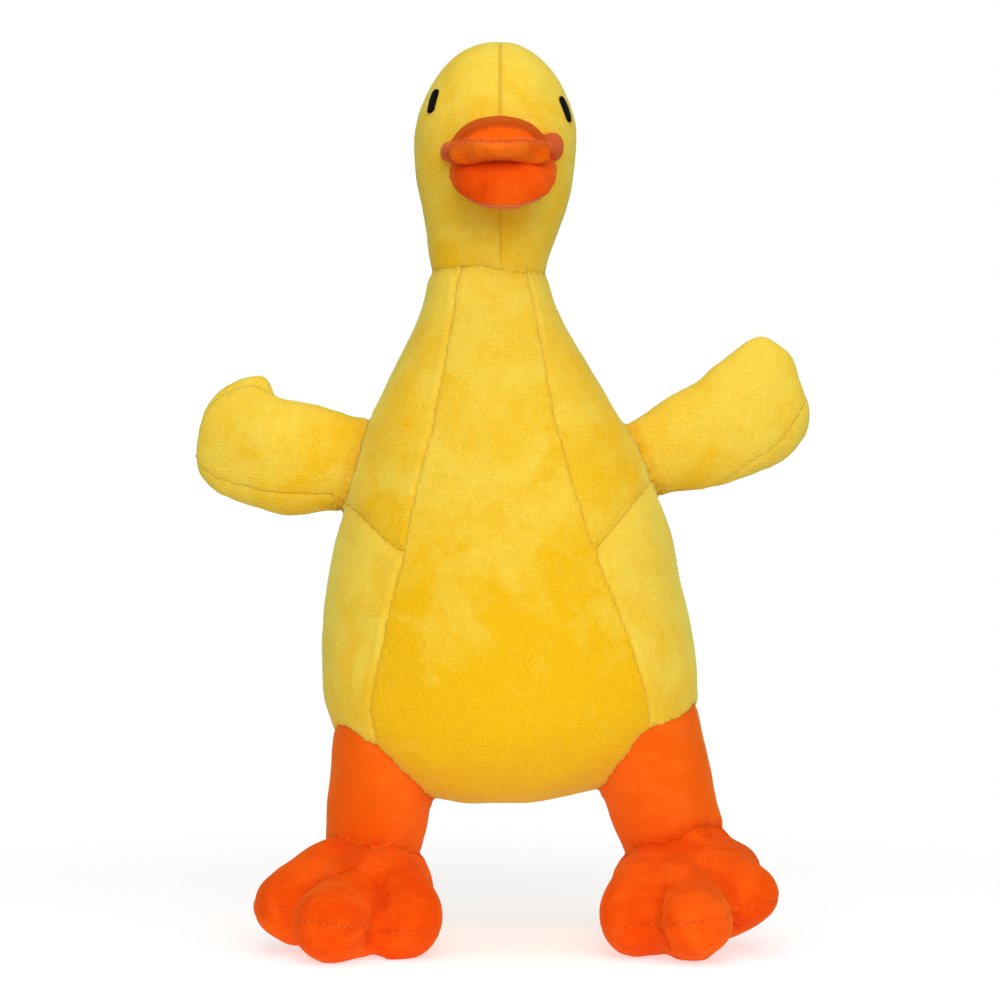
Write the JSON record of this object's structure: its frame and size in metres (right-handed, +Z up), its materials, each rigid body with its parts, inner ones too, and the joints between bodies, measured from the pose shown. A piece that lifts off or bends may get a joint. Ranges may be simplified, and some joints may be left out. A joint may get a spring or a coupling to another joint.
{
  "type": "plush duck",
  "caption": "Stuffed toy duck of short-pile cloth: long neck, drooping bill, paddle wings, tube legs and plump toed feet, each limb bending at its sewn root.",
  "frame": {"origin": "centre of the duck's box at floor level, between its feet", "axes": "+Z up from the floor it stands on; the duck faces -Y, so its own left side is +X"},
  "size_m": [0.2242, 0.1352, 0.3242],
  "materials": {
    "yellow_plush": "short-pile knit plush, brushed, with a soft sheen",
    "orange_plush": "short-pile knit plush, brushed",
    "orange_fleece": "smooth, very short-pile fleece with faint knit bands",
    "fibre_filling": "loose crimped polyester fibre",
    "black_thread": "satin-stitch embroidery thread"
  },
  "bodies": {
    "torso": {"belly_panel": "yellow_plush", "chest_panel_left": "yellow_plush", "chest_panel_right": "yellow_plush", "hip_panel_left": "yellow_plush", "hip_panel_right": "yellow_plush", "back_panel_left": "yellow_plush", "back_panel_right": "yellow_plush", "torso_filling": "fibre_filling", "tail_top": "yellow_plush", "tail_underside": "yellow_plush", "tail_filling": "fibre_filling"},
    "head": {"head_panel_left": "yellow_plush", "head_panel_right": "yellow_plush", "head_filling": "fibre_filling", "eye_left": "black_thread", "eye_right": "black_thread", "bill_upper_top": "orange_plush", "bill_upper_lining": "orange_plush", "bill_upper_filling": "fibre_filling", "bill_lower_lining": "orange_plush", "bill_lower_underside": "orange_plush", "bill_lower_filling": "fibre_filling"},
    "wing_left": {"wing_front_left": "yellow_plush", "wing_back_left": "yellow_plush", "wing_filling_left": "fibre_filling"},
    "wing_right": {"wing_front_right": "yellow_plush", "wing_back_right": "yellow_plush", "wing_filling_right": "fibre_filling"},
    "leg_left": {"leg_sleeve_left": "orange_fleece", "leg_filling_left": "fibre_filling"},
    "leg_right": {"leg_sleeve_right": "orange_fleece", "leg_filling_right": "fibre_filling"},
    "foot_left": {"foot_upper_left": "orange_plush", "foot_sole_left": "orange_plush", "foot_filling_left": "fibre_filling"},
    "foot_right": {"foot_upper_right": "orange_plush", "foot_sole_right": "orange_plush", "foot_filling_right": "fibre_filling"}
  },
  "joints": [
    {"name": "neck_nod", "type": "hinge", "parent": "torso", "child": "head", "pos_m": [0.0008, 0.0001, 0.24], "axis": [1, 0, 0], "range_deg": [-30, 30], "stiffness_Nm_per_rad": 0.3, "deforming": ["head_panel_left", "head_panel_right", "belly_panel", "chest_panel_left", "chest_panel_right", "back_panel_left", "back_panel_right"]},
    {"name": "wing_left_flap", "type": "hinge", "parent": "torso", "child": "wing_left", "pos_m": [0.0528, 0.0011, 0.1755], "axis": [0, -1, 0], "range_deg": [-45, 45], "stiffness_Nm_per_rad": 0.1, "deforming": ["wing_front_left", "wing_back_left", "hip_panel_left"]},
    {"name": "wing_right_flap", "type": "hinge", "parent": "torso", "child": "wing_right", "pos_m": [-0.0522, 0.0011, 0.1735], "axis": [0, 1, 0], "range_deg": [-30, 45], "stiffness_Nm_per_rad": 0.1, "deforming": ["wing_front_right", "wing_back_right", "hip_panel_right"]},
    {"name": "leg_left_swing", "type": "hinge", "parent": "torso", "child": "leg_left", "pos_m": [0.0528, -0.0059, 0.0675], "axis": [-1, 0, 0], "range_deg": [-30, 60], "stiffness_Nm_per_rad": 0.5, "deforming": ["leg_sleeve_left"]},
    {"name": "leg_right_swing", "type": "hinge", "parent": "torso", "child": "leg_right", "pos_m": [-0.0442, -0.0059, 0.0675], "axis": [-1, 0, 0], "range_deg": [-30, 60], "stiffness_Nm_per_rad": 0.5, "deforming": ["leg_sleeve_right"]},
    {"name": "foot_left_flex", "type": "hinge", "parent": "leg_left", "child": "foot_left", "pos_m": [0.0608, -0.0009, 0.0355], "axis": [-1, 0, 0], "range_deg": [-20, 20], "stiffness_Nm_per_rad": 0.5, "deforming": ["foot_upper_left"]},
    {"name": "foot_right_flex", "type": "hinge", "parent": "leg_right", "child": "foot_right", "pos_m": [-0.0462, -0.0009, 0.0355], "axis": [-1, 0, 0], "range_deg": [-20, 20], "stiffness_Nm_per_rad": 0.5, "deforming": ["foot_upper_right"]}
  ]
}
